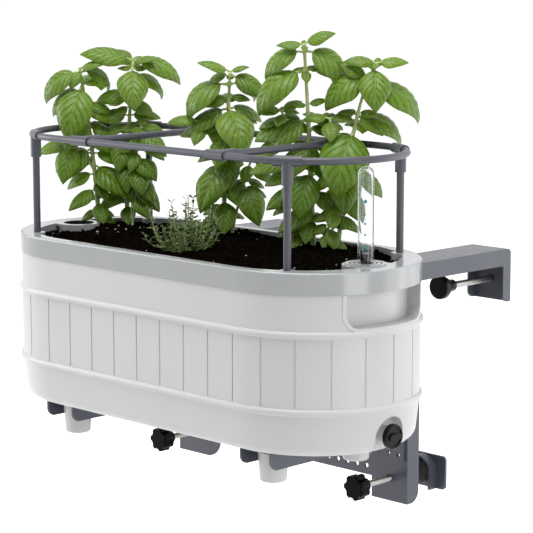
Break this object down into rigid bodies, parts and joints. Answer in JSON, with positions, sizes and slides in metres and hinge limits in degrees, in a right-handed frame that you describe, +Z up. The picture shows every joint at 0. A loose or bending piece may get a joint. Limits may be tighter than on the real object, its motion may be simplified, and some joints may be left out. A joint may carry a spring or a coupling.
{
  "type": "rail planter",
  "caption": "Oblong self-watering planter with rim trellis and water gauge, hung on a railing by screw-clamp hook brackets and planted with basil and thyme.",
  "frame": {"origin": "where the hooks sit on the railing: top of the rail at its near face, midway between the hooks", "axes": "+X along the railing, +Y from the planter to the far side of the railing, +Z up"},
  "size_m": [0.578, 0.4438, 0.5407],
  "materials": {
    "shell_white": "satin moulded polypropylene",
    "rim_grey": "satin moulded polypropylene",
    "plug_black": "moulded nylon",
    "rubber_black": "moulded rubber",
    "float_foam": "closed-cell foam",
    "clear_plastic": "clear moulded tube",
    "soil": "damp potting soil with perlite",
    "leaf_green": "fresh basil leaf",
    "thyme_green": "thyme sprig",
    "bracket_grey": "fine powder coat on steel sheet",
    "zinc": "zinc-plated steel",
    "trellis_grey": "satin moulded plastic tube"
  },
  "bodies": {
    "bracket": {"cross_rail": "bracket_grey", "bracket_bolts": "zinc", "bracket_nuts": "zinc", "clamp_nuts": "zinc", "hook_left": "bracket_grey", "hook_right": "bracket_grey", "arm_left": "bracket_grey", "arm_right": "bracket_grey"},
    "planter_shell": {"shell": "shell_white"},
    "drain_seal": {"drain_gasket": "rubber_black"},
    "drain_plug": {"drain_plug": "plug_black"},
    "planter_liner": {"rim": "rim_grey", "basin": "rim_grey", "fill_tube": "rim_grey", "float_tube": "rim_grey", "wick_cup_left": "rim_grey", "wick_cup_right": "rim_grey", "gauge_cap": "rim_grey", "gauge_tube": "clear_plastic", "soil": "soil", "basil_left": "leaf_green", "basil_middle": "leaf_green", "basil_right": "leaf_green", "thyme": "thyme_green", "ring_tube_left": "trellis_grey", "ring_tube_right": "trellis_grey", "ring_tube_front": "trellis_grey", "ring_tube_back": "trellis_grey", "tee_front_left": "trellis_grey", "tee_front_right": "trellis_grey", "tee_back_left": "trellis_grey", "tee_back_right": "trellis_grey", "post_front_left": "trellis_grey", "post_front_right": "trellis_grey", "post_back_left": "trellis_grey", "post_back_right": "trellis_grey", "cross_bar_left": "trellis_grey", "cross_bar_right": "trellis_grey", "bar_clips_left": "trellis_grey", "bar_clips_right": "trellis_grey"},
    "float": {"gauge_float": "float_foam", "float_stem": "plug_black"},
    "lower_shoe_left": {"lower_pad_left": "rubber_black", "shoe_left": "bracket_grey"},
    "lower_screw_left": {"knob_left": "plug_black", "lower_rod_left": "zinc"},
    "upper_pad_left": {"upper_pad_left": "rubber_black"},
    "upper_screw_left": {"upper_rod_left": "zinc"},
    "lower_shoe_right": {"lower_pad_right": "rubber_black", "shoe_right": "bracket_grey"},
    "lower_screw_right": {"knob_right": "plug_black", "lower_rod_right": "zinc"},
    "upper_pad_right": {"upper_pad_right": "rubber_black"},
    "upper_screw_right": {"upper_rod_right": "zinc"}
  },
  "joints": [
    {"name": "shell_lift", "type": "slide", "parent": "bracket", "child": "planter_shell", "axis": [0, 0, 1], "range_m": [0, 0.06]},
    {"name": "liner_lift", "type": "slide", "parent": "planter_shell", "child": "planter_liner", "axis": [0, 0, 1], "range_m": [0, 0.17]},
    {"name": "float_rise", "type": "slide", "parent": "planter_liner", "child": "float", "axis": [0, 0, 1], "range_m": [0, 0.055]},
    {"name": "plug_travel", "type": "slide", "parent": "planter_shell", "child": "drain_seal", "axis": [1, 0, 0], "range_m": [0, 0.014]},
    {"name": "plug_turn", "type": "hinge", "parent": "drain_seal", "child": "drain_plug", "pos_m": [0.2765, -0.145, -0.143], "axis": [1, 0, 0], "range_deg": [0, 2520]},
    {"name": "lower_travel_left", "type": "slide", "parent": "bracket", "child": "lower_shoe_left", "axis": [0, 1, 0], "range_m": [-0.02, 0.035]},
    {"name": "lower_turn_left", "type": "hinge", "parent": "lower_shoe_left", "child": "lower_screw_left", "pos_m": [-0.165, -0.02, -0.2335], "axis": [0, 1, 0], "range_deg": [-5760, 10080]},
    {"name": "upper_travel_left", "type": "slide", "parent": "bracket", "child": "upper_pad_left", "axis": [0, 1, 0], "range_m": [0, 0.06]},
    {"name": "upper_turn_left", "type": "hinge", "parent": "upper_pad_left", "child": "upper_screw_left", "pos_m": [-0.165, 0.165, -0.019], "axis": [0, 1, 0], "range_deg": [0, 17280]},
    {"name": "lower_travel_right", "type": "slide", "parent": "bracket", "child": "lower_shoe_right", "axis": [0, 1, 0], "range_m": [-0.02, 0.035]},
    {"name": "lower_turn_right", "type": "hinge", "parent": "lower_shoe_right", "child": "lower_screw_right", "pos_m": [0.165, -0.02, -0.2335], "axis": [0, 1, 0], "range_deg": [-5760, 10080]},
    {"name": "upper_travel_right", "type": "slide", "parent": "bracket", "child": "upper_pad_right", "axis": [0, 1, 0], "range_m": [0, 0.06]},
    {"name": "upper_turn_right", "type": "hinge", "parent": "upper_pad_right", "child": "upper_screw_right", "pos_m": [0.165, 0.165, -0.019], "axis": [0, 1, 0], "range_deg": [0, 17280]}
  ],
  "couplings": [
    {"joint": "plug_turn", "follows": "plug_travel", "rad_per_m": 3141.6},
    {"joint": "lower_turn_left", "follows": "lower_travel_left", "rad_per_m": 5026.5},
    {"joint": "upper_turn_left", "follows": "upper_travel_left", "rad_per_m": 5026.5},
    {"joint": "lower_turn_right", "follows": "lower_travel_right", "rad_per_m": 5026.5},
    {"joint": "upper_turn_right", "follows": "upper_travel_right", "rad_per_m": 5026.5}
  ]
}
